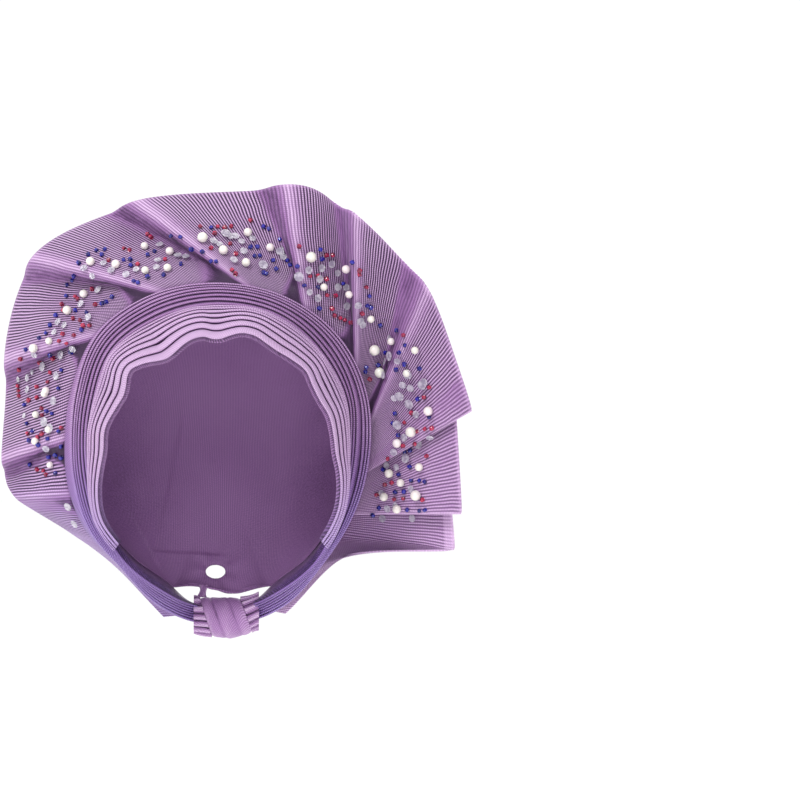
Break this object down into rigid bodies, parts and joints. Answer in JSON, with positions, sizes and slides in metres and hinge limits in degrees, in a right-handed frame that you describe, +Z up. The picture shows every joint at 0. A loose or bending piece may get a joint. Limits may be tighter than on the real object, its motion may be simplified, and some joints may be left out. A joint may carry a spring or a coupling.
{
  "type": "tied gele head tie",
  "caption": "Ready-tied gele head wrap: pleated brow band and ring, ruffled fan of ribbed purple cloth with pearls, a plain cap over the crown and a knot at the nape.",
  "frame": {"origin": "the middle of the wearer's head at eye level, the place a head holds the wrap from", "axes": "+X to the wearer's left, +Y to the back of the head, +Z up; the face looks along -Y"},
  "size_m": [0.2966, 0.1755, 0.2877],
  "materials": {
    "fan_cloth": "ribbed shiny hand-loom cloth, pale lilac rib tops over deep purple gaps",
    "pale_pleat_cloth": "the same ribbed cloth in pressed pale pleats",
    "dark_pleat_cloth": "the same ribbed cloth in tight cord-like pleats, bluish violet at the sides",
    "cap_cloth": "plain dense weave with a soft sheen",
    "pearl_coat": "glossy cream pearl coat"
  },
  "bodies": {
    "root": {"fan": "fan_cloth", "brow_pleats": "pale_pleat_cloth", "ring_pleats": "dark_pleat_cloth", "crown_cap": "cap_cloth", "cap_tie": "cap_cloth", "knot_wrap": "cap_cloth", "knot_gather_left": "fan_cloth", "knot_gather_right": "fan_cloth", "pearl_01": "pearl_coat", "pearl_02": "pearl_coat", "pearl_03": "pearl_coat", "pearl_04": "pearl_coat", "pearl_05": "pearl_coat", "pearl_06": "pearl_coat", "pearl_07": "pearl_coat", "pearl_08": "pearl_coat", "pearl_09": "pearl_coat", "pearl_10": "pearl_coat", "pearl_11": "pearl_coat", "pearl_12": "pearl_coat", "pearl_13": "pearl_coat", "pearl_14": "pearl_coat", "pearl_15": "pearl_coat", "pearl_16": "pearl_coat", "pearl_17": "pearl_coat", "pearl_18": "pearl_coat", "pearl_19": "pearl_coat", "pearl_20": "pearl_coat", "pearl_21": "pearl_coat", "pearl_22": "pearl_coat", "pearl_23": "pearl_coat", "pearl_24": "pearl_coat", "pearl_25": "pearl_coat", "pearl_26": "pearl_coat", "pearl_27": "pearl_coat", "pearl_28": "pearl_coat", "pearl_29": "pearl_coat"}
  },
  "joints": []
}
